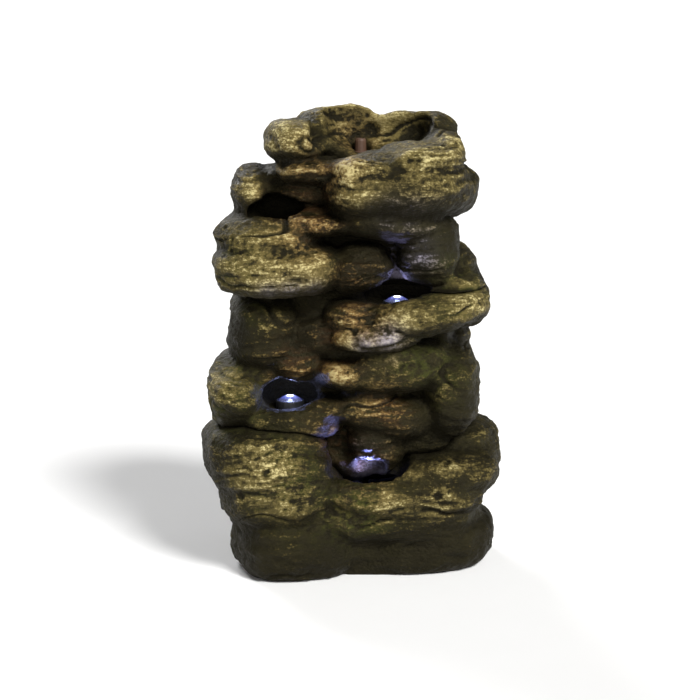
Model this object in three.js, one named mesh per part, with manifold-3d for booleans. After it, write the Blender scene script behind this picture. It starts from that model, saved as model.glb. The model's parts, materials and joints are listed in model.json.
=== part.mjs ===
// Tiered rock-cascade water fountain: three hollow cast-resin rock sections stacked on each other,
// a lift-off rear door, a submersible pump with its hose, and three underwater lights.
// Millimetres, +Z up. X runs across the front, Y runs from the front to the back.
// The origin is on the ground under the fountain, on the flat underside of the base.
import * as THREE from "three";
import { mergeVertices } from "three/addons/utils/BufferGeometryUtils.js";
import Module from "manifold-3d";

const wasm = await Module();
wasm.setup();

// ---- Driving dimensions ----
const GAP = 0.5; // clearance between neighbouring castings
const FIT = 0.3; // clearance between small parts that touch
const WALL = 9; // thickness of the cast resin shell
const FLOOR = 18; // height of the reservoir's floor above the ground
const SEAM = 392; // height of the flat joint between the lower and the upper section

// ---- Shapes ----
function solid(geometry) {
  const bare = geometry.clone();
  bare.deleteAttribute("normal");
  bare.deleteAttribute("uv");
  const merged = mergeVertices(bare, 1e-4);
  return new wasm.Manifold(
    new wasm.Mesh({
      numProp: 3,
      vertProperties: new Float32Array(merged.attributes.position.array),
      triVerts: new Uint32Array(merged.index.array),
    }),
  );
}

const union = (shapes) => wasm.Manifold.union(shapes);

function box([x0, x1], [y0, y1], [z0, z1]) {
  const geometry = new THREE.BoxGeometry(x1 - x0, y1 - y0, z1 - z0);
  return solid(geometry.translate((x0 + x1) / 2, (y0 + y1) / 2, (z0 + z1) / 2));
}

// A cylinder from `start`, running `length` along the axis "x", "y" or "z".
function rod(axis, radius, start, length, sides = 20) {
  const geometry = new THREE.CylinderGeometry(radius, radius, length, sides);
  geometry.translate(0, length / 2, 0);
  if (axis === "z") geometry.rotateX(Math.PI / 2);
  if (axis === "x") geometry.rotateZ(-Math.PI / 2);
  return solid(geometry.translate(...start));
}

const ring = (axis, outer, inner, start, length, sides = 20) => {
  const before = [...start];
  before["xyz".indexOf(axis)] -= 1;
  return rod(axis, outer, start, length, sides).subtract(rod(axis, inner, before, length + 2, sides));
};

// A body of revolution about Z from [radius, height] points, lifted to `at`.
function turned(profile, at, sides = 20) {
  const points = profile.map(([r, h]) => new THREE.Vector2(r, h));
  const geometry = new THREE.LatheGeometry(points, sides);
  return solid(geometry.rotateX(Math.PI / 2).translate(...at));
}

const circle = (radius, sides) =>
  Array.from({ length: sides }, (_, i) => {
    const angle = (2 * Math.PI * i) / sides;
    return new THREE.Vector2(radius * Math.cos(angle), radius * Math.sin(angle));
  });

// A round tube, or a round cord when bore is 0, along a smooth curve through the points.
function tube(points, radius, bore = 0, steps = 24, sides = 8) {
  const section = new THREE.Shape(circle(radius, sides));
  if (bore) section.holes.push(new THREE.Path(circle(bore, sides)));
  const extrudePath = new THREE.CatmullRomCurve3(points.map((p) => new THREE.Vector3(...p)));
  return solid(new THREE.ExtrudeGeometry(section, { steps, extrudePath, bevelEnabled: false }));
}

// ---- Rocks ----
// A rock is a rounded block inside the box x, y, z. `square` is how boxy it is: 2 is an ellipsoid.
// `turn` rotates it about Z and `lean` about Y, in degrees, and `seed` sets its own uneven surface.
const UNEVEN = 0.035;

function rock({ x, y, z, square = 3, turn = 0, lean = 0, seed = 1, detail = 2 }, grow = 0) {
  const half = [x, y, z].map(([low, high]) => (high - low) / 2 + grow);
  const centre = [x, y, z].map(([low, high]) => (high + low) / 2);
  const geometry = new THREE.IcosahedronGeometry(1, detail);
  const p = geometry.attributes.position;
  for (let i = 0; i < p.count; i++) {
    const [a, b, c] = [p.getX(i), p.getY(i), p.getZ(i)];
    const block = (Math.abs(a) ** square + Math.abs(b) ** square + Math.abs(c) ** square) ** (-1 / square);
    const uneven =
      Math.sin(3.1 * a + 2.3 * c + 1.7 * seed) +
      Math.sin(4.3 * b - 2.9 * a + 2.9 * seed) +
      Math.sin(3.7 * c + 3.3 * b + 0.6 * seed);
    const reach = block * (1 - UNEVEN + (UNEVEN * uneven) / 3);
    p.setXYZ(i, a * reach * half[0], b * reach * half[1], c * reach * half[2]);
  }
  const rad = THREE.MathUtils.degToRad;
  const pose = new THREE.Matrix4().makeRotationFromEuler(new THREE.Euler(0, rad(lean), rad(turn)));
  return solid(geometry.applyMatrix4(pose.setPosition(...centre)));
}

const rocks = (list, grow = 0) => union(list.map((r) => rock(r, grow)));
const largest = (shape) => shape.decompose().sort((a, b) => b.volume() - a.volume())[0];

const BASE_ROCKS = [
  { x: [-170, 10], y: [-146, 40], z: [-16, 88], square: 2.9, turn: 12, seed: 1, detail: 3 },
  { x: [-80, 206], y: [-110, 120], z: [-20, 86], square: 2.9, turn: -3, seed: 2, detail: 3 },
  { x: [-164, 172], y: [-30, 150], z: [-30, 90], square: 4, seed: 3 },
  { x: [-178, 186], y: [-126, 140], z: [44, 124], square: 5, seed: 10 },
  { x: [-184, -34], y: [-152, 40], z: [70, 190], square: 5, turn: 10, seed: 4, detail: 3 },
  { x: [-208, -36], y: [-148, 60], z: [116, 214], square: 3.6, turn: 10, seed: 9, detail: 3 },
  { x: [-90, 192], y: [-130, 60], z: [76, 146], square: 3.6, seed: 5, detail: 3 },
  { x: [14, 210], y: [-120, 120], z: [104, 164], square: 3.2, lean: -3, seed: 6, detail: 3 },
  { x: [100, 214], y: [-50, 130], z: [84, 198], square: 2.6, seed: 8 },
  { x: [-190, 190], y: [20, 150], z: [60, 192], square: 5, seed: 7 },
];

const LOWER_ROCKS = [
  { x: [-66, 44], y: [-62, 60], z: [112, 236], square: 3.6, seed: 11 },
  { x: [-14, 80], y: [-92, 60], z: [128, 236], square: 2.8, lean: 8, seed: 23 },
  { x: [-30, 120], y: [-106, 60], z: [188, 254], square: 2.9, lean: 10, seed: 12, detail: 3 },
  { x: [92, 180], y: [-98, 110], z: [178, 314], square: 2.7, seed: 13, detail: 3 },
  { x: [-20, 140], y: [-110, 60], z: [248, 326], square: 3.2, lean: -3, seed: 14, detail: 3 },
  { x: [-52, 30], y: [-116, 0], z: [256, 306], square: 2.6, seed: 51 },
  { x: [-174, -66], y: [-100, 100], z: [270, 396], square: 2.8, seed: 17, detail: 3 },
  { x: [-164, -90], y: [-84, 100], z: [236, 320], square: 3, seed: 25 },
  { x: [-200, -122], y: [-128, 100], z: [196, 300], square: 2.6, seed: 18, detail: 3 },
  { x: [-166, -10], y: [-116, 40], z: [188, 238], square: 3.6, seed: 19 },
  { x: [-84, 14], y: [-114, 10], z: [212, 248], square: 2.5, seed: 20 },
  { x: [-116, -36], y: [-88, 10], z: [264, 324], square: 2.6, seed: 28 },
  { x: [-90, 40], y: [-94, 10], z: [300, 356], square: 2.8, seed: 24 },
  { x: [-40, 44], y: [-114, -10], z: [342, 380], square: 2.4, seed: 21 },
  { x: [50, 140], y: [-64, 60], z: [150, 220], square: 3, seed: 29 },
  { x: [-150, 150], y: [-58, 60], z: [180, 420], square: 5, seed: 27 },
  { x: [-176, 172], y: [10, 144], z: [170, 420], square: 6, seed: 22 },
];

// These cross the flat seam between the lower and the upper section.
const SHOULDER_ROCKS = [
  { x: [-44, 100], y: [-130, 20], z: [312, 356], square: 2.6, lean: -6, seed: 52, detail: 3 },
  { x: [-6, 190], y: [-134, 100], z: [330, 396], square: 2.7, lean: -8, seed: 15, detail: 3 },
  { x: [96, 193], y: [-84, 120], z: [330, 420], square: 2.6, seed: 16 },
  { x: [84, 178], y: [-24, 120], z: [384, 446], square: 2.6, seed: 35 },
];

const UPPER_ROCKS = [
  { x: [-192, -8], y: [-136, 50], z: [384, 464], square: 2.9, seed: 31, detail: 3 },
  { x: [-190, -40], y: [-122, 60], z: [420, 500], square: 2.6, lean: 3, seed: 32, detail: 3 },
  { x: [-34, 54], y: [-104, 30], z: [388, 460], square: 2.5, lean: -5, seed: 33 },
  { x: [58, 148], y: [-90, 80], z: [390, 500], square: 3, seed: 34 },
  { x: [-112, 8], y: [-110, 10], z: [466, 504], square: 2.4, lean: 2, seed: 36 },
  { x: [-30, 130], y: [-106, 40], z: [462, 512], square: 3, lean: 3, seed: 49 },
  { x: [-166, -110], y: [-66, 70], z: [474, 560], square: 2.4, seed: 37 },
  { x: [-44, 166], y: [-128, 70], z: [490, 572], square: 2.9, lean: -2, seed: 38, detail: 3 },
  { x: [-38, 80], y: [-124, 10], z: [530, 580], square: 2.5, lean: -5, seed: 53 },
  { x: [36, 156], y: [-114, 30], z: [548, 598], square: 2.5, lean: -2, seed: 39, detail: 3 },
  { x: [106, 177], y: [-50, 100], z: [488, 562], square: 2.4, seed: 40 },
  { x: [-122, -34], y: [-72, 70], z: [562, 624], square: 2.6, seed: 41 },
  { x: [-80, 48], y: [-10, 110], z: [556, 642], square: 2.4, seed: 42, detail: 3 },
  { x: [28, 147], y: [0, 114], z: [560, 632], square: 2.6, seed: 43, detail: 3 },
  { x: [104, 154], y: [-90, 90], z: [540, 608], square: 2.7, seed: 44 },
  { x: [-110, 0], y: [-84, 40], z: [536, 570], square: 2.9, seed: 45 },
  { x: [-118, -20], y: [-56, 60], z: [500, 546], square: 2.9, seed: 50 },
  { x: [-142, -60], y: [-40, 90], z: [490, 558], square: 3, seed: 54 },
  { x: [-128, 140], y: [-34, 60], z: [360, 560], square: 5, seed: 46 },
  { x: [-116, 142], y: [20, 140], z: [360, 594], square: 6, seed: 47 },
];

// The bowls that hold water on each tier, and the notches where it spills to the next one.
const TOP_POOL = { x: [-44, 118], y: [-44, 66], z: [568, 680], square: 2.6, seed: 61 };
const TOP_SPILL = { x: [-62, 4], y: [-116, 6], z: [574, 640], square: 2.4, seed: 62 };
const LEFT_BOWL = { x: [-146, -60], y: [-84, 20], z: [474, 524], square: 2.4, seed: 63 };
const RIGHT_BOWL = { x: [14, 116], y: [-92, 4], z: [366, 406], square: 2.6, seed: 64 };
const LIGHT_BOWL = { x: [-130, -46], y: [-92, 0], z: [224, 272], square: 2.8, seed: 66 };
const POOL_RIM = { x: [-34, 86], y: [-116, -20], z: [112, 250], square: 3, seed: 68 };
const RESERVOIR = { x: [-146, 158], y: [-88, 122], z: [FLOOR - 2, 130], square: 5, seed: 67 };

// The rooms inside each casting, [x, y, z] ranges, which leave its shell.
const BASE_HOLLOWS = [[[-150, -76], [-112, 20], [92, 180]]];
const LOWER_HOLLOWS = [
  [[-112, 116], [-38, 118], [212, 350]],
  [[-134, 130], [24, 118], [214, 368]],
];
const UPPER_HOLLOWS = [
  [[-90, 114], [-18, 112], [408, 534]],
  [[-148, -52], [-94, 20], [408, 444]],
  [[0, 122], [-90, 32], [510, 552]],
];

// The open duct inside the stack that carries the hose and the leads, and the room for the pump.
const DUCT = [[-70, 80], [30, 117], [100, 546]];
const PUMP_ROOM = [
  [[-50, 112], [28, 122], [FLOOR, 182]],
  [[-50, 112], [28, 117], [180, 230]],
];

// ---- Where things sit ----
const LIGHTS = {
  right: [62, -50, 364],
  left: [-86, -46, 224],
  basin: [26, -68, 100],
};
const SPOUT = [12, 44, 570]; // the middle of its flange, on the top pool's floor
const DOOR = { x: [-80, 80], z: [202, 342], seat: 126, opening: 20 };
const PUMP = [16, 66, FLOOR + 10]; // under the joint between the impeller chamber and the motor
const JUNCTION = [78, 111.5, 168];
const GLAND = [78, 144, 130];

// ---- The hose and the leads: radii and routes ----
const HOSE = { radius: 9.5, bore: 7 };
const HOSE_ROUTE = [
  [PUMP[0] - 11, PUMP[1], PUMP[2] + 56],
  [PUMP[0] - 11, PUMP[1], PUMP[2] + 80],
  [PUMP[0] - 11, PUMP[1], PUMP[2] + 110],
  [6, 72, 240],
  [10, 64, 380],
  [SPOUT[0], SPOUT[1] + 6, 450],
  [SPOUT[0], SPOUT[1], 484],
  [SPOUT[0], SPOUT[1], 510],
  [SPOUT[0], SPOUT[1], 537],
];
const LEAD = 2;
const LIGHT_RADIUS = 20;
const LEAD_EXIT = LIGHT_RADIUS + 0.4; // from a light's middle to the start of its lead
const TERMINAL = JUNCTION[2] + 9.4;
const LEAD_ROUTES = {
  right: [[62, 0, 370], [62, 14, 370], [62, 40, 367], [70, 72, 340], [90, 100, 280], [94, 109, 210]],
  left: [[-86, 0, 230], [-86, 14, 230], [-84, 44, 228], [-50, 88, 207], [30, 112, 205], [82, 109, 203]],
  basin: [[26, 0, 107], [26, 10, 107], [34, 30, 100], [74, 40, 110], [66, 100, 190], [70, 109, 210]],
};
const PUMP_LEAD = [[PUMP[0] + 52.6, 66, 56], [92, 66, 56], [104, 84, 90], [92, 109, 130], [90, 109, 146],
  [90, 109, 158.6]];
const SUPPLY_LEAD = [[66, 109, 158.6], [66, 109, 146], [70, 114, 134], [78, 128, 130], [78, 140, 130],
  [78, 154, 130]];

// From the back of the light's housing, along its list, and straight down to the junction box.
function leadRoute(where) {
  const [start, ...rest] = LEAD_ROUTES[where];
  const [, y] = LIGHTS[where];
  const [x1, y1] = rest[rest.length - 1];
  return [[start[0], y + LEAD_EXIT, start[2]], ...rest, [x1, y1, TERMINAL + 16], [x1, y1, TERMINAL]];
}

const room = (list) => union(list.map((ranges) => box(...ranges)));
const spots = union(
  Object.values(LIGHTS).map(([x, y, z]) => rod("z", LIGHT_RADIUS + 1.5, [x, y, z - FIT], 60, 16)),
);
const leadHoles = union(
  Object.keys(LIGHTS).map((where) => {
    const [x, y, z] = leadRoute(where)[0];
    return rod("y", LEAD + 1.5, [x, y - 4, z], 64, 8);
  }),
);

// ---- Castings ----
function baseBasin() {
  const ledge = rock({ x: [-20, 76], y: [-104, -40], z: [-20, 114], square: 6, seed: 5 });
  const [x, y, z] = GLAND;
  return rocks(BASE_ROCKS)
    .subtract(union([rock(RESERVOIR), rock(POOL_RIM), room(BASE_HOLLOWS), room(PUMP_ROOM)]))
    .add(ledge)
    .trimByPlane([0, 0, 1], 0)
    .subtract(union([rod("y", 8, [x, y - 40, z], 60), rod("y", 12, [x, y, z], 30), spots, leadHoles]));
}

// What a section must keep clear of in the base: its shell, but not its open water.
const baseRoom = () =>
  rocks(BASE_ROCKS, GAP).subtract(union([rock(RESERVOIR, -GAP), rock(POOL_RIM, -GAP)]));

function lowerCascade() {
  const bowls = [RIGHT_BOWL, LIGHT_BOWL];
  const [x, y, z] = LIGHTS.right;
  const hollow = union([room(LOWER_HOLLOWS), room(PUMP_ROOM), box(...DUCT)])
    .subtract(union([...bowls.map((b) => rock(b, WALL)), rod("z", 30, [x, y, z - WALL], 30)]));
  const cuts = union([hollow, ...bowls.map((b) => rock(b)), spots, leadHoles, doorRoom()]);
  const body = rocks([...LOWER_ROCKS, ...SHOULDER_ROCKS]).trimByPlane([0, 0, -1], -(SEAM - GAP / 2));
  return largest(body.subtract(cuts).subtract(baseRoom()));
}

function upperCascade() {
  const bowls = [TOP_POOL, TOP_SPILL, LEFT_BOWL];
  const hollow = union([room(UPPER_HOLLOWS), box(...DUCT)])
    .subtract(union(bowls.map((b) => rock(b, WALL))));
  const [x, y, z] = SPOUT;
  const flange = union([rod("z", 18, [x, y, z], 80), rod("z", 8.5, [x, y, z - 60], 80, 12)]);
  const cuts = union([hollow, ...bowls.map((b) => rock(b)), rock(RIGHT_BOWL), flange]);
  const body = rocks([...UPPER_ROCKS, ...SHOULDER_ROCKS]).trimByPlane([0, 0, 1], SEAM + GAP / 2);
  return largest(body.subtract(cuts));
}

// The opening in the back of the lower section, with the rebate that the door lies in.
function doorRoom() {
  const { x: [x0, x1], z: [z0, z1], seat, opening } = DOOR;
  return union([
    box([x0 - GAP, x1 + GAP], [seat, 200], [z0 - GAP, z1 + GAP]),
    box([x0 + opening, x1 - opening], [seat - 40, 200], [z0 + opening, z1 - opening]),
    ...DOOR_SCREWS.map((px) => rod("y", 3, [px, seat - 24, (z0 + z1) / 2], 40, 12)),
  ]);
}

// ---- Rear door ----
const DOOR_SCREWS = [DOOR.x[0] + 10, DOOR.x[1] - 10];

function rearDoor() {
  const { x: [x0, x1], z: [z0, z1], seat } = DOOR;
  const [width, height] = [x1 - x0, z1 - z0];
  const geometry = new THREE.BoxGeometry(width, 10, height, 8, 1, 7);
  const p = geometry.attributes.position;
  for (let i = 0; i < p.count; i++) {
    if (p.getY(i) < 0) continue;
    const [a, c] = [(2 * p.getX(i)) / width, (2 * p.getZ(i)) / height];
    const bulge = 4 * (1 - a ** 4) * (1 - c ** 4);
    p.setY(i, 5 + bulge + 0.8 * Math.sin(7 * a + 2 * c) + 0.7 * Math.sin(9 * c - 3 * a));
  }
  geometry.translate((x0 + x1) / 2, seat + FIT + 5, (z0 + z1) / 2);
  const plate = solid(geometry);
  const wells = DOOR_SCREWS.map((x) => rod("y", 9.4, [x, seat + 5, (z0 + z1) / 2], 40, 12));
  const holes = DOOR_SCREWS.map((x) => rod("y", 2.9, [x, seat - 10, (z0 + z1) / 2], 40, 12));
  return plate.subtract(union([...wells, ...holes]));
}

function doorScrew(x) {
  const { z: [z0, z1], seat } = DOOR;
  const middle = (z0 + z1) / 2;
  const shank = rod("y", 2.5, [x, seat - 14, middle], 24, 12);
  const head = rod("y", 8.4, [x, seat + 5 + FIT, middle], 9, 12);
  return head.add(shank);
}

// ---- Pump: its axis runs along X, and the motor is on the +X side ----
const [PX, PY, PZ] = PUMP;
const AXLE = PZ + 25;
const CHAMBER = { length: 22, radius: 18 };

function pumpBody() {
  const shell = box([PX + FIT, PX + 52], [PY - 26, PY + 26], [PZ, PZ + 50]);
  const corners = [-1, 1].flatMap((sy) =>
    [0, 1].map((top) => {
      const edge = box([PX - 5, PX + 60], [-3, 3], [-3, 3]);
      return edge.rotate([45, 0, 0]).translate([0, PY + sy * 26, PZ + top * 50]);
    }),
  );
  const fins = [10, 20, 30, 40].map((dx) =>
    box([PX + dx, PX + dx + 2], [PY - 20, PY + 20], [PZ + 47, PZ + 60]),
  );
  return shell
    .subtract(union([...corners, ...fins]))
    .subtract(rod("x", 11, [PX - 2, PY, AXLE], 38))
    .subtract(rod("x", 1.8, [PX + 10, PY, AXLE], 32, 12))
    .subtract(rod("x", 3, [PX + 44, PY, 56], 20, 12));
}

function pumpChamber() {
  const x0 = PX - CHAMBER.length;
  const outside = rod("x", 23, [x0, PY, AXLE], CHAMBER.length, 20);
  const nozzle = rod("z", 6, [PX - 11, PY, PZ + 40], 32, 12);
  const collar = rod("z", 8, [PX - 11, PY, PZ + 44], 8, 12);
  return union([outside, nozzle, collar])
    .subtract(rod("x", CHAMBER.radius, [x0 + 3, PY, AXLE], CHAMBER.length, 20))
    .subtract(rod("z", 4.2, [PX - 11, PY, PZ + 36], 60, 12))
    .subtract(ring("x", 12, 4, [x0 - 2, PY, AXLE], 8, 12))
    .add(box([x0, x0 + 3], [PY - 1.5, PY + 1.5], [AXLE - 14, AXLE + 14]))
    .subtract(rod("x", 1.8, [x0 - 2, PY, AXLE], 8, 12));
}

function impeller() {
  const magnet = rod("x", 10, [PX + 1, PY, AXLE], 32, 16);
  const hub = rod("x", 5, [PX - 17, PY, AXLE], 20, 12);
  const disc = rod("x", 15.5, [PX - 4, PY, AXLE], 2.5, 16);
  const vanes = Array.from({ length: 6 }, (_, i) =>
    box([PX - 16, PX - 2], [-0.9, 0.9], [3, 15.5])
      .rotate([60 * i, 0, 0])
      .translate([0, PY, AXLE]),
  );
  return union([magnet, hub, disc, ...vanes]).subtract(rod("x", 1.8, [PX - 30, PY, AXLE], 90, 12));
}

const impellerShaft = () => rod("x", 1.5, [PX - 21, PY, AXLE], 59, 12);

function pumpSeal() {
  return ring("x", 25.2, 23.8, [PX - 3, PY, AXLE], 2.6, 20);
}

function pumpStrainer() {
  const x1 = PX - CHAMBER.length - FIT;
  const x0 = x1 - 22;
  const shell = box([x0, x1], [PY - 26, PY + 26], [PZ, PZ + 50]);
  const inside = box([x0 + 2.5, x1 + 5], [PY - 23.5, PY + 23.5], [PZ + 2.5, PZ + 47.5]);
  const slots = [-20, -14, 12, 18].map((dy) =>
    box([x0 - 2, x0 + 12], [PY + dy, PY + dy + 3], [PZ + 8, PZ + 42]),
  );
  return shell.subtract(inside).subtract(union(slots)).subtract(rod("x", 3.4, [x0 - 5, PY, AXLE], 20, 12));
}

function flowDial() {
  const x0 = PX - CHAMBER.length - FIT - 22;
  const face = rod("x", 9.5, [x0 - 4.3, PY, AXLE], 4, 20);
  const grip = box([x0 - 8, x0 - 4], [PY - 1.6, PY + 1.6], [AXLE - 8, AXLE + 8]);
  const stem = rod("x", 3, [x0 - 1, PY, AXLE], 8, 12);
  return union([face, grip, stem]);
}

function pumpFoot(x, y) {
  const cup = [[0, 3], [2.2, 3], [5.5, 1.6], [8.5, 0.3], [9, 0.9], [6.4, 3.4], [4.4, 5.6], [3.6, 9.6],
    [0, 9.6]];
  return turned(cup, [x, y, FLOOR + 0.1], 12);
}

function hose() {
  return tube(HOSE_ROUTE, HOSE.radius, HOSE.bore, 15, 8);
}

function hoseClamp() {
  const at = [PX - 11, PY, PZ + 62];
  const ears = [-1, 1].map((side) => {
    const x0 = at[0] + side * 3 - 0.8;
    return box([x0, x0 + 1.6], [at[1] - 17, at[1] - 10.4], [at[2], at[2] + 6]);
  });
  return ring("z", 11.4, HOSE.radius + 0.4, at, 6, 16).add(union(ears));
}

// ---- Spout: the tube that lets the water into the top pool, with its nut under the floor ----
function spout() {
  const [x, y, z] = SPOUT;
  const profile = [[4.6, -54], [6, -54], [6, -30], [7.8, -28], [7.8, 0.3], [15, 0.3], [15, 4], [8.4, 4.6],
    [8, 19], [6.6, 22], [4.6, 22], [4.6, -54]];
  return turned(profile, [x, y, z], 14);
}

function spoutNut() {
  const [x, y, z] = SPOUT;
  return rod("z", 13, [x, y, z - 30.3], 6, 6).subtract(rod("z", 8.3, [x, y, z - 40], 30, 16));
}

// ---- Lights ----
function lightParts(at) {
  const r = LIGHT_RADIUS;
  const cup = [[0, 0], [r - 1, 0], [r, 1], [r, 12], [r - 1, 13], [r - 2.4, 13], [r - 2.4, 10.4],
    [r - 5, 10.4], [r - 5, 4], [0, 4]];
  const dome = [[0, 19.6], [7, 18.9], [13, 16], [17.2, 13.2], [17.2, 12.2], [14.2, 12.2], [11, 15],
    [6, 17.2], [0, 17.8]];
  const lamp = [[0, 4.3], [9, 4.3], [9, 6.4], [3, 6.4], [3, 11.4], [2.2, 13.4], [0, 14.2]];
  return {
    housing: turned(cup, at, 16),
    lens: turned(dome.reverse(), at, 16),
    seal: ring("z", 17.2, 15.2, [at[0], at[1], at[2] + 10.7], 1.2, 16),
    lamp: turned(lamp, at, 10),
  };
}

// ---- Electrics ----
function junctionBox() {
  const [x, y, z] = JUNCTION;
  const body = box([x - 23, x + 23], [y - 9, y + 9], [z - 9, z + 9]);
  const rim = box([x - 24, x + 24], [y - 10, y + 10], [z + 2, z + 5]);
  return body.add(rim);
}

function cableGland() {
  const [x, y, z] = GLAND;
  return union([
    rod("y", 11, [x, y + FIT, z], 4, 20),
    rod("y", 7.6, [x, y - 12, z], 14, 16),
    rod("y", 5, [x, y + 3, z], 9, 16),
  ]).subtract(rod("y", 3.1, [x, y - 24, z], 60, 12));
}

// ---- Materials ----
const finish = (color, roughness, metalness = 0) =>
  new THREE.MeshStandardMaterial({ color, roughness, metalness });
const RESIN = finish(0x5c4f33, 0.8);
const DARK_PLASTIC = finish(0x16181a, 0.45);
const GREY_PLASTIC = finish(0x3b3f42, 0.5);
const RUBBER = finish(0x101010, 0.9);
const STEEL = finish(0xb9bcbf, 0.3, 1);
const CERAMIC = finish(0xe8e4da, 0.3);
const VINYL = finish(0xbfc9c4, 0.25);
const CLEAR = finish(0xdfe8f2, 0.05);
const LAMP = finish(0xcfd8ff, 0.2);

// ---- The assembly ----
const fountain = new THREE.Group();

function add(name, shape, material) {
  const made = shape.getMesh();
  const geometry = new THREE.BufferGeometry();
  geometry.setAttribute("position", new THREE.BufferAttribute(made.vertProperties, 3));
  geometry.setIndex(new THREE.BufferAttribute(made.triVerts, 1));
  geometry.computeVertexNormals();
  const mesh = new THREE.Mesh(geometry, material);
  mesh.name = name;
  fountain.add(mesh);
}

add("base_basin", baseBasin(), RESIN);
add("lower_cascade", lowerCascade(), RESIN);
add("upper_cascade", upperCascade(), RESIN);
add("rear_door", rearDoor(), RESIN);
add("door_screw_left", doorScrew(DOOR_SCREWS[0]), DARK_PLASTIC);
add("door_screw_right", doorScrew(DOOR_SCREWS[1]), DARK_PLASTIC);
add("pump_body", pumpBody(), DARK_PLASTIC);
add("pump_chamber", pumpChamber(), GREY_PLASTIC);
add("pump_seal", pumpSeal(), RUBBER);
add("impeller", impeller(), GREY_PLASTIC);
add("impeller_shaft", impellerShaft(), CERAMIC);
add("pump_strainer", pumpStrainer(), DARK_PLASTIC);
add("flow_dial", flowDial(), GREY_PLASTIC);
[[10, -18], [42, -18], [10, 18], [42, 18]].forEach(([dx, dy], i) => {
  add(`pump_foot_${i + 1}`, pumpFoot(PX + dx, PY + dy), RUBBER);
});
add("hose", hose(), VINYL);
add("hose_clamp", hoseClamp(), STEEL);
add("spout", spout(), DARK_PLASTIC);
add("spout_nut", spoutNut(), GREY_PLASTIC);
for (const [where, at] of Object.entries(LIGHTS)) {
  const { housing, lens, seal, lamp } = lightParts(at);
  add(`light_housing_${where}`, housing, DARK_PLASTIC);
  add(`light_lens_${where}`, lens, CLEAR);
  add(`light_seal_${where}`, seal, RUBBER);
  add(`light_lamp_${where}`, lamp, LAMP);
  add(`light_lead_${where}`, tube(leadRoute(where), LEAD, 0, 16, 8), RUBBER);
}
add("pump_lead", tube(PUMP_LEAD, 2.6, 0, 12, 8), RUBBER);
add("supply_lead", tube(SUPPLY_LEAD, 2.6, 0, 10, 8), RUBBER);
add("junction_box", junctionBox(), DARK_PLASTIC);
add("cable_gland", cableGland(), RUBBER);

export default fountain;
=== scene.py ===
import json
import math

import bpy
import numpy as np
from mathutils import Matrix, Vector
from mathutils.bvhtree import BVHTree
from mathutils.kdtree import KDTree

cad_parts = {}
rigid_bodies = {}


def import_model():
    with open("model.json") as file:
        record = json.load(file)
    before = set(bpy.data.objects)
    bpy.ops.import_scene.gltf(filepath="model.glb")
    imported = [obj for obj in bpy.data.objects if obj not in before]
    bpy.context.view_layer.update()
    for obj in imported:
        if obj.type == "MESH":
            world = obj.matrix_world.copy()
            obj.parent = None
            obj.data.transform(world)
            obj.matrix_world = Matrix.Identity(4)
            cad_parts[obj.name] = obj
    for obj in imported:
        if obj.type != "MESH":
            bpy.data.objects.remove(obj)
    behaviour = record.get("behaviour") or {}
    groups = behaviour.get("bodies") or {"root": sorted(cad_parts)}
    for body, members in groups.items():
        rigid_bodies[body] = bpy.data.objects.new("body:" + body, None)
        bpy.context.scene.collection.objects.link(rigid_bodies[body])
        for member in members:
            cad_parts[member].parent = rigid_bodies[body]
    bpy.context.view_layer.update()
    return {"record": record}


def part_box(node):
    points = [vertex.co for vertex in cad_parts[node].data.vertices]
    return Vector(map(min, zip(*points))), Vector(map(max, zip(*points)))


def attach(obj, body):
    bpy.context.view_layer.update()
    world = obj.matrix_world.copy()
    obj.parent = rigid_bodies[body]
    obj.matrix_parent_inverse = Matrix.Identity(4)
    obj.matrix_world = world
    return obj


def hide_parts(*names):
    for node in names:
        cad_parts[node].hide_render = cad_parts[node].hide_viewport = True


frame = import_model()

BODY = "fountain"
CASTINGS = {"base_basin": BODY, "lower_cascade": BODY, "upper_cascade": BODY, "rear_door": "door"}
VOXEL = 0.0029


# ---- Noise ----
TABLE = 256  # entries in each shuffled table, a power of two
NOISE_GAIN = 1.6  # brings the gradient noise to about -1 to 1
LAYER_SHIFT = 17.3  # keeps the layers' cells from lining up
FAR = 9.0  # further than any spot in the neighbouring cells


def entries(table, order, cell):
    """The table's entry for each cell, which is a triple of whole numbers."""
    cell = cell & (TABLE - 1)
    return table[order[order[order[cell[:, 0]] + cell[:, 1]] + cell[:, 2]]]


def noise(points, seed):
    """Smooth gradient noise, about -1 to 1, one value for each point."""
    source = np.random.RandomState(seed)
    slopes = source.normal(size=(TABLE, 3))
    slopes = slopes / np.linalg.norm(slopes, axis=1)[:, None]
    order = np.tile(source.permutation(TABLE), 3)
    cell = np.floor(points).astype(int)
    inside = points - cell
    fade = inside ** 3 * (inside * (inside * 6 - 15) + 10)
    total = np.zeros(len(points))
    for corner in np.ndindex(2, 2, 2):
        slope = entries(slopes, order, cell + corner)
        weight = np.prod(np.where(corner, fade, 1 - fade), axis=1)
        total += weight * np.einsum("ij,ij->i", slope, inside - corner)
    return total * NOISE_GAIN


def layered(points, octaves, seed):
    """Noise with finer noise added to it, each layer twice as fine and half as strong."""
    total = np.zeros(len(points))
    for k in range(octaves):
        total += 0.5 ** k * noise(points * 2.0 ** k + LAYER_SHIFT * k, seed + k)
    return total


def scattered(points, seed):
    """How far each point is from the nearest spot, with one spot scattered in each unit cell."""
    source = np.random.RandomState(seed)
    spots = source.uniform(0.1, 0.9, size=(TABLE, 3))
    order = np.tile(source.permutation(TABLE), 3)
    cell = np.floor(points).astype(int)
    nearest = np.full(len(points), FAR)
    for step in np.ndindex(3, 3, 3):
        there = cell + step - 1
        spot = there + entries(spots, order, there)
        nearest = np.minimum(nearest, np.linalg.norm(spot - points, axis=1))
    return nearest


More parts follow.
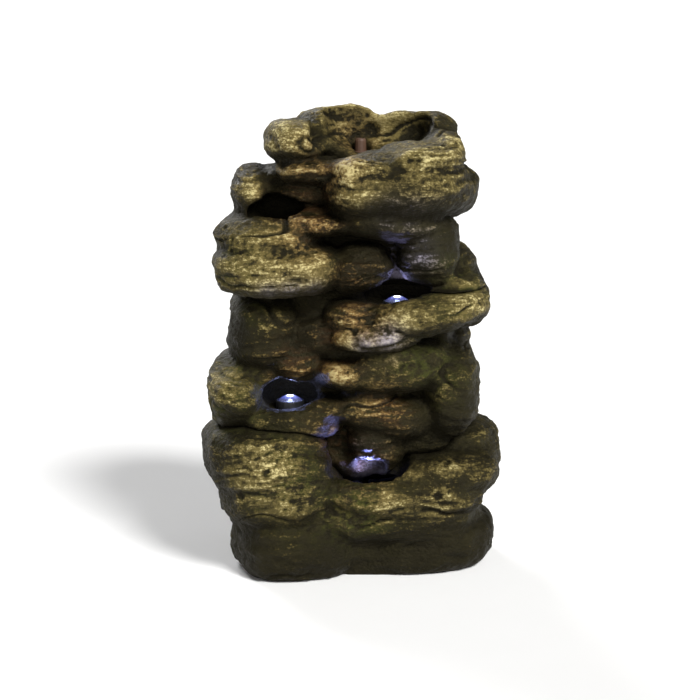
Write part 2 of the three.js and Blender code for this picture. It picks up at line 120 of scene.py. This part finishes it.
def ramp(low, high, value):
    """0 at low and 1 at high, smooth between them. Low may be the larger of the two."""
    t = np.clip((value - low) / (high - low), 0, 1)
    return t * t * (3 - 2 * t)


# ---- Mesh access ----
def positions(mesh):
    flat = np.empty(len(mesh.vertices) * 3)
    mesh.vertices.foreach_get("co", flat)
    return flat.reshape(-1, 3)


def set_positions(mesh, points):
    mesh.vertices.foreach_set("co", points.ravel())
    mesh.update()


def normals(mesh):
    flat = np.empty(len(mesh.vertices) * 3)
    mesh.vertex_normals.foreach_get("vector", flat)
    return flat.reshape(-1, 3)


def neighbours(mesh):
    """A function that averages a value over each vertex's neighbours."""
    edges = np.empty(len(mesh.edges) * 2, dtype=int)
    mesh.edges.foreach_get("vertices", edges)
    a, b = edges.reshape(-1, 2).T
    count = len(mesh.vertices)
    start, end = np.concatenate([a, b]), np.concatenate([b, a])
    degree = np.maximum(np.bincount(start, minlength=count), 1)

    def mean(values):
        if values.ndim == 1:
            return np.bincount(start, values[end], count) / degree
        return np.column_stack([np.bincount(start, column[end], count) / degree for column in values.T])

    return mean


def smoothed(values, mean, rounds, share=0.6):
    for _ in range(rounds):
        values = values + share * (mean(values) - values)
    return values


def settle(piece):
    """Turns a piece's modifiers into its mesh."""
    graph = bpy.context.evaluated_depsgraph_get()
    mesh = bpy.data.meshes.new_from_object(piece.evaluated_get(graph))
    piece.modifiers.clear()
    piece.data = mesh


# ---- How open to the sky and the room each place is ----
def casting_tree(names):
    """The named castings' faces, as one tree to cast rays at and measure distances to."""
    corners, faces = [], []
    for name in names:
        mesh = bpy.data.objects[name].data
        faces += [tuple(len(corners) + i for i in polygon.vertices) for polygon in mesh.polygons]
        corners += [vertex.co.copy() for vertex in mesh.vertices]
    return BVHTree.FromPolygons(corners, faces)


TREE = casting_tree(CASTINGS)
RAYS = 28
RAY_START, RAY_LENGTH = 0.004, 0.16


def openness(points, facing):
    """The share of rays from each point that meet no casting nearby."""
    golden = math.pi * (3 - math.sqrt(5))
    steps = (np.arange(RAYS) + 0.5) / RAYS
    around = golden * np.arange(RAYS)
    disc = np.sqrt(steps)
    local = np.column_stack([disc * np.cos(around), disc * np.sin(around), np.sqrt(1 - steps)])
    found = np.zeros(len(points))
    for i, (point, normal) in enumerate(zip(points, facing)):
        up = Vector(normal)
        side = up.orthogonal().normalized()
        other = up.cross(side)
        start = Vector(point) + RAY_START * up
        free = 0
        for x, y, z in local:
            if TREE.ray_cast(start, side * x + other * y + up * z, RAY_LENGTH)[0] is None:
                free += 1
        found[i] = free / RAYS
    return found


def spread_openness(points, facing, cell=0.007, count=4, softening=0.001):
    """Openness on one vertex in each small cell, carried over to all the vertices."""
    _, chosen = np.unique(np.floor(points / cell).astype(int), axis=0, return_index=True)
    values = openness(points[chosen], facing[chosen])
    tree = KDTree(len(chosen))
    for i, k in enumerate(chosen):
        tree.insert(points[k], i)
    tree.balance()
    result = np.empty(len(points))
    for i, point in enumerate(points):
        found = tree.find_n(point, count)
        weights = np.array([1 / (distance + softening) for _, _, distance in found])
        result[i] = weights @ values[[index for _, index, _ in found]] / weights.sum()
    return result


# ---- Where the paint, the water, the painted light and the painted shade go: middle, radius ----
WATERWAY = [
    ((-0.03, -0.09, 0.575), 0.040), ((-0.055, -0.07, 0.535), 0.045), ((-0.07, -0.06, 0.51), 0.045),
    ((-0.055, -0.10, 0.488), 0.045), ((0.01, -0.10, 0.410), 0.036), ((0.01, -0.11, 0.362), 0.036),
    ((-0.03, -0.10, 0.335), 0.030), ((-0.075, -0.075, 0.295), 0.042), ((-0.025, -0.10, 0.285), 0.036),
    ((0.045, -0.10, 0.235), 0.042), ((-0.02, -0.07, 0.19), 0.050), ((0.01, -0.08, 0.15), 0.045),
    ((0.012, 0.03, 0.60), 0.030),
]
# Painted light: places whose colour is lightened where the key light falls
SUNLIT = [
    ((-0.11, -0.15, 0.165), 0.060), ((-0.09, -0.15, 0.12), 0.050), ((-0.11, -0.13, 0.425), 0.070),
    ((0.10, -0.10, 0.585), 0.055), ((0.00, -0.12, 0.56), 0.050), ((-0.10, -0.05, 0.60), 0.050),
    ((-0.02, -0.13, 0.105), 0.030), ((0.05, -0.13, 0.105), 0.036), ((0.12, -0.12, 0.105), 0.036),
    ((0.08, -0.12, 0.165), 0.030), ((0.14, -0.11, 0.168), 0.034), ((0.06, -0.13, 0.35), 0.055),
    ((0.16, -0.09, 0.39), 0.050), ((-0.17, -0.09, 0.27), 0.035), ((-0.02, 0.05, 0.615), 0.045),
    ((0.03, 0.06, 0.605), 0.035), ((0.13, -0.06, 0.60), 0.035), ((-0.14, -0.06, 0.535), 0.028),
    ((-0.06, -0.12, 0.43), 0.045), ((0.02, -0.105, 0.252), 0.022), ((-0.02, -0.11, 0.292), 0.020),
    ((0.12, -0.09, 0.258), 0.025), ((-0.09, -0.15, 0.20), 0.030), ((0.00, -0.11, 0.33), 0.025),
]
# Painted shade: places whose colour is darkened where shade falls
SHADED = [
    ((-0.12, -0.12, 0.02), 0.075), ((-0.04, -0.12, 0.02), 0.070), ((0.04, -0.12, 0.02), 0.070),
    ((0.12, -0.11, 0.02), 0.070), ((0.18, -0.05, 0.02), 0.070), ((-0.20, -0.06, 0.13), 0.050),
    ((-0.10, -0.03, 0.50), 0.050), ((0.12, -0.09, 0.24), 0.050), ((-0.15, -0.07, 0.33), 0.050),
    ((-0.02, -0.12, 0.13), 0.035), ((0.14, -0.06, 0.455), 0.045), ((0.01, -0.10, 0.44), 0.045),
    ((0.09, -0.10, 0.32), 0.030), ((-0.07, -0.09, 0.34), 0.040), ((0.03, -0.13, 0.138), 0.018),
    ((0.07, -0.13, 0.137), 0.018), ((0.11, -0.13, 0.136), 0.018), ((0.15, -0.12, 0.135), 0.018),
    ((-0.04, -0.12, 0.16), 0.030), ((-0.16, -0.12, 0.215), 0.028), ((0.10, -0.11, 0.215), 0.035),
    ((-0.10, -0.12, 0.225), 0.030), ((0.02, -0.09, 0.20), 0.030),
]
# Painted light: places tinted lavender where the pool lights' blue light falls on the rock
LED_SHEEN_PLACES = [
    ((0.09, -0.09, 0.45), 0.030), ((0.05, -0.13, 0.330), 0.022), ((0.02, -0.12, 0.325), 0.016),
    ((0.05, -0.12, 0.500), 0.022), ((0.08, -0.12, 0.497), 0.022), ((0.11, -0.12, 0.492), 0.022),
    ((-0.11, -0.13, 0.392), 0.016), ((-0.08, -0.13, 0.392), 0.018), ((-0.05, -0.12, 0.394), 0.016),
    ((0.015, -0.075, 0.175), 0.022),
]
MOSS = [
    ((0.17, -0.10, 0.40), 0.060), ((-0.18, -0.09, 0.25), 0.050), ((0.10, -0.11, 0.29), 0.050),
    ((-0.09, -0.15, 0.15), 0.050), ((0.0, -0.12, 0.10), 0.050), ((-0.15, -0.12, 0.41), 0.050),
]


def near(points, places):
    """1 at the middle of a place, 0.37 at its radius and falling to 0 beyond that."""
    result = np.zeros(len(points))
    for middle, radius in places:
        distance = np.linalg.norm(points - np.array(middle), axis=1)
        result = np.maximum(result, np.exp(-((distance / radius) ** 2)))
    return result


def clear_of_lights(points):
    """0 close to a light's housing, where the casting fits it, and 1 away from it."""
    result = np.ones(len(points))
    for where in ("right", "left", "basin"):
        low, high = (np.array(corner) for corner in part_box(f"light_housing_{where}"))
        middle, radius = (low + high) / 2, (high[0] - low[0]) / 2
        flat = np.linalg.norm((points - middle)[:, :2], axis=1)
        level = np.abs(points[:, 2] - middle[2])
        beside = ramp(radius + 0.002, radius + 0.010, flat)
        above_or_below = ramp(0.02, 0.03, level)
        result = np.minimum(result, np.maximum(beside, above_or_below))
    return result


# ---- Rock surface ----
# How far each kind of relief stands out or goes in, in metres
LUMPS, SLABS, SCOOPS, RIDGES, WRINKLES = 0.0035, 0.0030, 0.0065, 0.0017, 0.0009
CREASES, PITS, GRAIN = 0.0046, 0.0016, 0.0009
BEND = (0.010, 0.010, 0.016)  # how far the layers wander off the level
GROUND_BAND = 0.004  # the foot up to this height stays as the CAD has it
LOWEST_RELIEF = 0.0006  # and no relief above it comes lower than this
SOFTENING_ROUNDS = 12
# Small hollows in the faces: middle, radius and depth
DIMPLES = [
    ((0.082, -0.112, 0.577), 0.012, 0.009), ((0.060, -0.110, 0.583), 0.006, 0.004),
    ((0.028, 0.056, 0.602), 0.013, 0.008), ((0.084, 0.050, 0.594), 0.020, 0.009),
    ((-0.126, -0.150, 0.190), 0.006, 0.005), ((-0.150, -0.148, 0.125), 0.005, 0.004),
    ((-0.115, -0.150, 0.158), 0.007, 0.003), ((0.118, -0.125, 0.120), 0.007, 0.004),
]


def away_from_seams(points, node):
    """0.3 within 2 mm of another casting, rising to 1 at 12 mm from it."""
    tree = casting_tree([name for name in CASTINGS if name != node])
    reach = 0.012
    gaps = np.array([tree.find_nearest(point, reach)[3] or reach for point in points])
    return 0.3 + 0.7 * ramp(0.002, reach, gaps)


def relief(points):
    """How far the rock stands out at each point, in metres, and how deep its creases are."""
    bend = np.column_stack([layered(points / 0.10, 3, 40 + k) for k in range(3)])
    flow = points + bend * BEND
    lumps = LUMPS * layered(flow / 0.060, 2, 1)
    slabs = SLABS * layered(flow / (0.110, 0.110, 0.030), 3, 3)
    scoop = scattered(flow / (0.062, 0.062, 0.036), 9)
    ridges = 1 - 2.4 * np.abs(noise(flow / (0.100, 0.100, 0.012), 5))
    wrinkles = 1 - 2.4 * np.abs(noise(flow / (0.040, 0.040, 0.0065), 6))
    lined = 0.25 + 0.75 * ramp(-0.25, 0.45, noise(points / 0.085, 8))
    strata = lined * (RIDGES * ridges + WRINKLES * wrinkles)
    level = noise(flow / (0.26, 0.26, 0.055), 11)
    broken = ramp(-0.15, 0.25, noise(points / 0.07, 14))
    crease = ramp(0.05, 0.0, np.abs(level)) * broken
    core = scattered(points / 0.014, 12)
    pits = ramp(0.34, 0.12, core) * ramp(0.05, 0.4, noise(points / 0.05, 13))
    rough = GRAIN * layered(points / 0.0075, 2, 21)
    height = lumps + slabs + SCOOPS * (scoop - 0.45) + strata - CREASES * crease - PITS * pits + rough
    for middle, radius, depth in DIMPLES:
        distance = np.linalg.norm(points - np.array(middle), axis=1)
        height -= depth * np.exp(-((distance / radius) ** 4))
    return height, crease


def rock_piece(node, body):
    """A casting's rock surface: its CAD mesh, remeshed, softened and carved where it shows."""
    cad = bpy.data.objects[node]
    piece = bpy.data.objects.new(f"{node}_rock", cad.data.copy())
    bpy.context.scene.collection.objects.link(piece)
    even = piece.modifiers.new("even", "REMESH")
    even.mode = "VOXEL"
    even.voxel_size = VOXEL
    settle(piece)
    mesh = piece.data
    mean = neighbours(mesh)
    points = positions(mesh)
    ground = points[:, 2] < GROUND_BAND
    opened = spread_openness(points, normals(mesh))
    outside = ramp(0.02, 0.14, smoothed(opened, mean, 3))
    free = outside * clear_of_lights(points) * away_from_seams(points, node) * ~ground
    soft = smoothed(points, mean, SOFTENING_ROUNDS)
    points += free[:, None] * (soft - points)
    set_positions(mesh, points)
    height, crease = relief(points)
    points += (free * height)[:, None] * smoothed(normals(mesh), mean, 2)
    points[:, 2] = np.where(ground, points[:, 2], np.maximum(points[:, 2], LOWEST_RELIEF))
    set_positions(mesh, points)
    paint(mesh, mean, opened, crease)
    mesh.polygons.foreach_set("use_smooth", np.ones(len(mesh.polygons), dtype=bool))
    mesh.materials.clear()
    mesh.materials.append(ROCK)
    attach(piece, body)
    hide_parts(node)


def paint(mesh, mean, opened, crease):
    """Stores what the rock's material needs to know about each place, the painted light and painted
    shade among it.
    """
    points, facing = positions(mesh), normals(mesh)
    crest = np.zeros(len(points))  # about -1 in hollows to 1 on edges, over three widths
    for rounds, scale in ((3, 0.0005), (14, 0.0016), (50, 0.0050)):
        proud = np.einsum("ij,ij->i", points - smoothed(points, mean, rounds), facing)
        crest += np.clip(proud / scale, -1, 1) / 3
    # Painted highlight, in patches towards the back
    back = ramp(0.02, 0.09, points[:, 1]) * ramp(-0.35, 0.45, noise(points / 0.085, 31))
    # Painted light at the SUNLIT places and towards the back, painted shade at the SHADED places, as one
    # value
    gold = near(points, SUNLIT) - 0.8 * near(points, SHADED) + 0.75 * back
    values = {
        # How open each place is; the material paints shade where it is low
        "open": smoothed(opened, mean, 4),
        "crest": crest,
        # Painted shade goes into the creases as well
        "crease": crease,
        # Painted shade on faces turned down
        "under": ramp(0.05, -0.75, smoothed(facing, mean, 4)[:, 2]),
        "wet": near(points, WATERWAY),
        "gold": gold,
        "lilac": 0.7 * near(points, LED_SHEEN_PLACES),
        "moss": near(points, MOSS),
    }
    for name, value in values.items():
        mesh.attributes.new(name, "FLOAT", "POINT").data.foreach_set("value", value)


# ---- Materials ----
class Nodes:
    """Short ways to make and join a material's nodes."""

    def __init__(self, name):
        self.material = bpy.data.materials.new(name)
        self.material.use_nodes = True
        self.tree = self.material.node_tree
        self.shader = self.tree.nodes["Principled BSDF"]

    def add(self, kind, **values):
        node = self.tree.nodes.new(kind)
        for name, value in values.items():
            setattr(node, name, value)
        return node

    def put(self, socket, value):
        if isinstance(value, bpy.types.NodeSocket):
            self.tree.links.new(value, socket)
        else:
            socket.default_value = value

    def math(self, operation, a, b):
        node = self.add("ShaderNodeMath", operation=operation)
        self.put(node.inputs[0], a)
        self.put(node.inputs[1], b)
        return node.outputs[0]

    def mix(self, share, a, b):
        """Colour a at share 0 and b at 1. The node's colour sockets are inputs 6 and 7 and output 2."""
        node = self.add("ShaderNodeMix", data_type="RGBA")
        self.put(node.inputs["Factor"], share)
        for socket, value in ((node.inputs[6], a), (node.inputs[7], b)):
            self.put(socket, (*value, 1) if isinstance(value, tuple) else value)
        return node.outputs[2]

    def fit(self, value, low, high, bottom=0.0, top=1.0):
        """Bottom where the value is low, top where it is high, and smooth between them."""
        node = self.add("ShaderNodeMapRange", interpolation_type="SMOOTHSTEP")
        self.put(node.inputs["Value"], value)
        for name, number in (("From Min", low), ("From Max", high), ("To Min", bottom), ("To Max", top)):
            node.inputs[name].default_value = number
        return node.outputs[0]

    def place(self, stretch=(1, 1, 1)):
        node = self.add("ShaderNodeMapping")
        self.put(node.inputs["Vector"], self.add("ShaderNodeTexCoord").outputs["Object"])
        node.inputs["Scale"].default_value = stretch
        return node.outputs[0]

    def noise(self, scale, detail=4, roughness=0.6, stretch=(1, 1, 1)):
        node = self.add("ShaderNodeTexNoise")
        self.put(node.inputs["Vector"], self.place(stretch))
        node.inputs["Scale"].default_value = scale
        node.inputs["Detail"].default_value = detail
        node.inputs["Roughness"].default_value = roughness
        return node.outputs["Fac"]

    def attribute(self, name):
        return self.add("ShaderNodeAttribute", attribute_name=name).outputs["Fac"]

    def bump(self, height, distance, strength=1.0):
        node = self.add("ShaderNodeBump")
        node.inputs["Strength"].default_value = strength
        node.inputs["Distance"].default_value = distance
        self.put(node.inputs["Height"], height)
        return node.outputs[0]

    def set(self, **values):
        """Sets or joins the shader's own sockets, with _ for each space in a name."""
        for name, value in values.items():
            self.put(self.shader.inputs[name.replace("_", " ")], value)
        return self.material


BLACK = (0.0036, 0.0031, 0.0012)
UMBER = (0.0048, 0.0042, 0.0016)
OLIVE = (0.0165, 0.0142, 0.0046)
OCHRE = (0.135, 0.104, 0.034)
CREAM = (0.560, 0.480, 0.225)
MOSSY = (0.040, 0.046, 0.0085)
RUST = (0.030, 0.0135, 0.0050)
AMBER = (0.230, 0.132, 0.044)
# The next two colours are painted light: the pool lights' blue sheen on the rock
SHEEN_SLATE = (0.030, 0.028, 0.036)
SHEEN_LAVENDER = (0.300, 0.285, 0.400)


def rock_material():
    """Dark cast rock, dry-brushed with ochre and cream, with painted highlights where paint() says that
    it catches the light and painted shade in its recesses, creases and undersides.
    """
    n = Nodes("painted_rock")
    opened, crest, wet, lilac = (n.attribute(name) for name in ("open", "crest", "wet", "lilac"))
    wide = n.noise(11, 5, 0.6, (1, 1, 2.2))
    mottle = n.noise(60, 6, 0.7, (1, 1, 1.6))
    lines = n.noise(26, 5, 0.65, (1, 1, 7))
    speck = n.noise(340, 5, 0.8, (1, 1, 1.5))
    grain = n.noise(700, 3, 0.7)
    crumbs = n.add("ShaderNodeTexVoronoi")
    n.put(crumbs.inputs["Vector"], n.place((1, 1, 1.3)))
    crumbs.inputs["Scale"].default_value = 190
    crumb = n.fit(crumbs.outputs["Distance"], 0.15, 0.75, 1.0, 0.0)

    body = n.mix(n.fit(wide, 0.35, 0.65), UMBER, OLIVE)
    body = n.mix(n.fit(lines, 0.48, 0.62, 0, 0.7), body, UMBER)
    body = n.mix(n.math("MULTIPLY", n.attribute("moss"), n.fit(mottle, 0.4, 0.6)), body, MOSSY)
    # Painted light: a slate tint where the pool lights' sheen is painted
    body = n.mix(n.math("MULTIPLY", lilac, n.fit(mottle, 0.3, 0.6, 0.2, 0.9)), body, SHEEN_SLATE)
    brown = n.math("MULTIPLY", wet, n.fit(n.math("ADD", mottle, lines), 0.80, 1.15))
    body = n.mix(brown, body, RUST)

    gold = n.attribute("gold")
    patchy = n.math("ADD", n.math("ADD", mottle, wide), n.math("MULTIPLY", crest, 0.30))
    # Painted light: broad ochre where the painted light falls
    glow = n.math("MULTIPLY", n.fit(gold, 0.0, 0.9), n.fit(patchy, 0.80, 1.25, 0.0, 0.70))
    body = n.mix(n.math("MULTIPLY", glow, n.fit(opened, 0.3, 0.7)), body, OCHRE)
    # Painted shade: black where the value is negative, at the SHADED places
    body = n.mix(n.fit(gold, -0.05, -0.70, 0.0, 0.72), body, BLACK)

    # Painted highlight: the dry-brush reaches further where the painted light falls
    sun = n.math("SUBTRACT", n.math("MULTIPLY", gold, 0.58), 0.09)
    raised_and_sunlit = n.math("ADD", n.math("MULTIPLY", crest, 0.50), sun)
    raised_and_sunlit = n.math("ADD", raised_and_sunlit, n.math("MULTIPLY", n.math("SUBTRACT", mottle, 0.5), 1.3))
    specks = n.math("MULTIPLY", n.math("SUBTRACT", speck, 0.5), 2.3)
    stipple = n.math("ADD", specks, n.math("MULTIPLY", crumb, 0.24))
    strokes = n.math("MULTIPLY", n.math("SUBTRACT", n.noise(42, 5, 0.7, (1, 1, 9)), 0.5), 1.1)
    ledges = n.math("MULTIPLY", n.math("MULTIPLY", wet, crest), 0.35)
    brushed_and_lit = n.math("ADD", n.math("ADD", raised_and_sunlit, strokes), n.math("SUBTRACT", stipple, 0.13))
    brushed_and_lit = n.math("ADD", brushed_and_lit, ledges)
    # Ochre dry-brush, partly the casting's paint on raised edges and partly painted highlight
    dry = n.math("MULTIPLY", n.fit(brushed_and_lit, 0.10, 0.60), n.fit(opened, 0.30, 0.80))
    dry = n.math("MULTIPLY", dry, n.fit(wet, 0.2, 0.9, 1.0, 0.85))
    # Painted light: the dry-brush turns lavender where the pool lights' sheen is painted
    film = n.mix(lilac, n.mix(wet, OCHRE, AMBER), SHEEN_LAVENDER)
    body = n.mix(n.math("MULTIPLY", dry, 0.85), body, film)
    # Cream dry-brush, partly the casting's paint on edges and partly painted highlight
    cream = n.math("MULTIPLY", n.fit(brushed_and_lit, 0.55, 1.05), n.fit(opened, 0.45, 0.9))
    cream_and_sheen_colour = n.mix(lilac, n.mix(n.math("MULTIPLY", wet, 0.45), CREAM, AMBER), SHEEN_LAVENDER)
    body = n.mix(n.math("MULTIPLY", cream, 0.95), body, cream_and_sheen_colour)

    # Painted shade: black where little of the room reaches, in hollows and creases and on faces turned
    # down; in the hollows it is partly the casting's dark wash as well
    occluded_shade = n.math("MULTIPLY", n.fit(opened, 0.48, 0.08), n.fit(wet, 0.2, 0.8, 1.0, 0.35))
    painted_shade_and_wash = n.math("MAXIMUM", occluded_shade, n.fit(crest, -0.10, -0.65, 0, 0.94))
    painted_shade_and_wash = n.math("MAXIMUM", painted_shade_and_wash, n.math("MULTIPLY", n.attribute("crease"), 0.75))
    painted_shade_and_wash = n.math("MAXIMUM", painted_shade_and_wash, n.math("MULTIPLY", n.attribute("under"), 0.88))
    colour = n.mix(painted_shade_and_wash, body, BLACK)

    small = n.math("ADD", speck, n.math("MULTIPLY", grain, 0.4))
    surface = n.math("ADD", n.math("MULTIPLY", crumb, 0.5), small)
    rough = n.math("SUBTRACT", n.fit(mottle, 0.3, 0.7, 0.50, 0.78), n.math("MULTIPLY", wet, 0.30))
    return n.set(
        Base_Color=colour, Roughness=rough, Normal=n.bump(surface, 0.0016),
        Specular_IOR_Level=0.22, Specular_Tint=(1.0, 0.88, 0.58, 1.0),
    )


def plastic(name, colour, roughness):
    n = Nodes(name)
    patches = n.noise(45)
    paler = tuple(2.2 * c + 0.01 for c in colour)
    tint = n.mix(n.fit(patches, 0.3, 0.7, 0.0, 0.35), colour, paler)
    leather = n.bump(n.noise(1600, 2), 0.0002, 0.6)
    rough = n.fit(patches, 0.2, 0.8, roughness - 0.08, roughness + 0.12)
    return n.set(Base_Color=tint, Roughness=rough, Normal=leather)


def rubber():
    n = Nodes("rubber")
    dust = n.noise(90, 5)
    colour = n.mix(n.fit(dust, 0.45, 0.75, 0.0, 0.5), (0.010, 0.010, 0.010), (0.055, 0.050, 0.042))
    sheath = n.bump(n.noise(900, 3), 0.0002)
    return n.set(Base_Color=colour, Roughness=n.fit(dust, 0.3, 0.7, 0.7, 0.95), Normal=sheath)


def steel():
    n = Nodes("spring_steel")
    brush = n.noise(300, 3, 0.5, (1, 1, 14))
    colour = n.mix(n.fit(brush, 0.3, 0.7), (0.42, 0.42, 0.43), (0.62, 0.61, 0.60))
    return n.set(Base_Color=colour, Metallic=1.0, Roughness=n.fit(brush, 0.3, 0.7, 0.22, 0.42))


def ceramic():
    n = Nodes("ceramic")
    cloud = n.noise(120, 3)
    colour = n.mix(cloud, (0.70, 0.68, 0.62), (0.82, 0.80, 0.75))
    return n.set(Base_Color=colour, Roughness=n.fit(cloud, 0.2, 0.8, 0.12, 0.22))


def vinyl():
    n = Nodes("clear_vinyl")
    haze = n.noise(70)
    colour = n.mix(haze, (0.52, 0.62, 0.56), (0.68, 0.74, 0.68))
    rough = n.fit(haze, 0.3, 0.7, 0.15, 0.32)
    return n.set(Base_Color=colour, Roughness=rough, Transmission_Weight=0.55, IOR=1.5)


def lens(where):
    """A clear cover, lit in its middle by the diode below it."""
    n = Nodes(f"lit_lens_{where}")
    low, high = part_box(f"light_lens_{where}")
    away = n.add("ShaderNodeVectorMath", operation="DISTANCE")
    n.put(away.inputs[0], n.place())
    away.inputs[1].default_value = ((low[0] + high[0]) / 2, (low[1] + high[1]) / 2, high[2])
    distance = away.outputs["Value"]
    film = n.noise(240)
    colour = n.mix(film, (0.10, 0.11, 0.16), (0.20, 0.22, 0.30))
    tint = n.mix(n.fit(distance, 0.004, 0.010), (0.80, 0.84, 1.0), (0.10, 0.12, 0.9))
    spot = n.fit(distance, 0.0055, 0.0035, 0.0, 9.0)
    power = n.math("ADD", spot, n.fit(distance, 0.020, 0.004, 0.0, 0.35))
    return n.set(
        Base_Color=colour, Roughness=n.fit(film, 0.3, 0.8, 0.05, 0.2), Transmission_Weight=0.5, IOR=1.49,
        Emission_Color=tint, Emission_Strength=power,
    )


def lamp():
    n = Nodes("lit_diode")
    phosphor = n.noise(500, 3)
    glow = n.mix(n.fit(phosphor, 0.3, 0.7), (0.55, 0.62, 1.0), (0.85, 0.90, 1.0))
    colour = n.mix(phosphor, (0.8, 0.8, 0.9), (0.9, 0.9, 0.95))
    return n.set(Base_Color=colour, Emission_Color=glow, Emission_Strength=30.0)


ROCK = rock_material()
FINISHES = {
    "black_plastic": plastic("black_plastic", (0.012, 0.013, 0.015), 0.42),
    "grey_plastic": plastic("grey_plastic", (0.060, 0.070, 0.075), 0.48),
    "clay_plastic": plastic("clay_plastic", (0.060, 0.028, 0.014), 0.60),
    "rubber": rubber(),
    "steel": steel(),
    "ceramic": ceramic(),
    "vinyl_hose": vinyl(),
    "lamp": lamp(),
}


def finish_cad_nodes():
    """Gives every node but the castings the material of its slot."""
    for part in frame["record"]["subparts"]:
        if part["node"] in CASTINGS:
            continue
        if part["material_slot"] == "clear_lens":
            finish = lens(part["node"].rsplit("_", 1)[1])
        elif part["node"] == "spout":
            finish = FINISHES["clay_plastic"]
        else:
            finish = FINISHES[part["material_slot"]]
        for slot in bpy.data.objects[part["node"]].material_slots:
            slot.material = finish


# ---- The room ----
FLOOR_HALF = 200.0  # far enough for its edge to stay out of the frame
DIODE_RADIUS = 0.004
LENS_GAP = 0.006  # from a lens's top to the light above it
BEAM_DEGREES, BEAM_BLEND = 100, 0.8
GLOW_SHARE = 0.03  # of the beam's power, shining to every side
WORLD_STRENGTH = 0.18
FOCAL_MM, SENSOR_MM = 97.2, 36


def floor():
    mesh = bpy.data.meshes.new("floor")
    corners = [(x * FLOOR_HALF, y * FLOOR_HALF, 0) for x, y in ((-1, -1), (1, -1), (1, 1), (-1, 1))]
    mesh.from_pydata(corners, [], [(0, 1, 2, 3)])
    plane = bpy.data.objects.new("floor", mesh)
    bpy.context.scene.collection.objects.link(plane)
    n = Nodes("pale_floor")
    colour = n.mix(n.noise(3), (0.86, 0.86, 0.86), (0.90, 0.90, 0.90))
    mesh.materials.append(n.set(Base_Color=colour, Roughness=0.9))


def sun(name, where, power, softness, colour=(1, 1, 1)):
    """A soft distant light, shining from a place towards the middle."""
    light = bpy.data.lights.new(name, "SUN")
    light.energy = power
    light.angle = math.radians(softness)
    light.color = colour
    source = bpy.data.objects.new(name, light)
    source.rotation_euler = (-Vector(where)).to_track_quat("-Z", "Y").to_euler()
    bpy.context.scene.collection.objects.link(source)


def pool_light(name, place, power, aim, colour):
    """The upward beam of a light, and a weak glow from the same place to every side."""
    for kind, share in (("SPOT", 1.0), ("POINT", GLOW_SHARE)):
        light = bpy.data.lights.new(f"{name}_{kind.lower()}", kind)
        light.energy = power * share
        light.color = colour
        light.shadow_soft_size = DIODE_RADIUS
        if kind == "SPOT":
            light.spot_size = math.radians(BEAM_DEGREES)
            light.spot_blend = BEAM_BLEND
        source = bpy.data.objects.new(light.name, light)
        source.location = place
        source.rotation_euler = Vector(aim).to_track_quat("-Z", "Y").to_euler()
        bpy.context.scene.collection.objects.link(source)


def lights():
    sun("key", (0.62, -0.85, 0.90), 4.5, 20, (1.0, 0.995, 0.98))
    sun("fill", (-0.05, -1.0, 0.14), 0.55, 20)
    sun("back", (-0.5, 1.0, 0.7), 2.4, 25)
    for where, power, aim, colour in (
        ("right", 0.35, (0.1, 0.1, 1), (0.42, 0.42, 1.0)),
        ("left", 2.0, (0.2, 0.6, 1), (0.36, 0.44, 1.0)),
        ("basin", 1.4, (-0.25, 0.1, 1), (0.30, 0.33, 1.0)),
    ):
        low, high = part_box(f"light_lens_{where}")
        middle = ((low[0] + high[0]) / 2, (low[1] + high[1]) / 2, high[2] + LENS_GAP)
        pool_light(f"glow_{where}", middle, power, aim, colour)
    world = bpy.data.worlds.new("studio")
    world.use_nodes = True
    background = world.node_tree.nodes["Background"]
    background.inputs["Color"].default_value = (1, 1, 1, 1)
    background.inputs["Strength"].default_value = WORLD_STRENGTH
    bpy.context.scene.world = world


def camera():
    target, distance, elevation = Vector((-0.00275, -0.06, 0.310)), 2.6, math.radians(11)
    back = Vector((0, -math.cos(elevation), math.sin(elevation)))
    data = bpy.data.cameras.new("camera")
    data.lens = FOCAL_MM
    data.sensor_width = SENSOR_MM
    view = bpy.data.objects.new("camera", data)
    view.location = target + distance * back
    view.rotation_euler = (-back).to_track_quat("-Z", "Y").to_euler()
    bpy.context.scene.collection.objects.link(view)
    bpy.context.scene.camera = view


camera()
floor()
lights()
bpy.context.scene.view_settings.view_transform = "Standard"
finish_cad_nodes()
for node, body in CASTINGS.items():
    rock_piece(node, body)
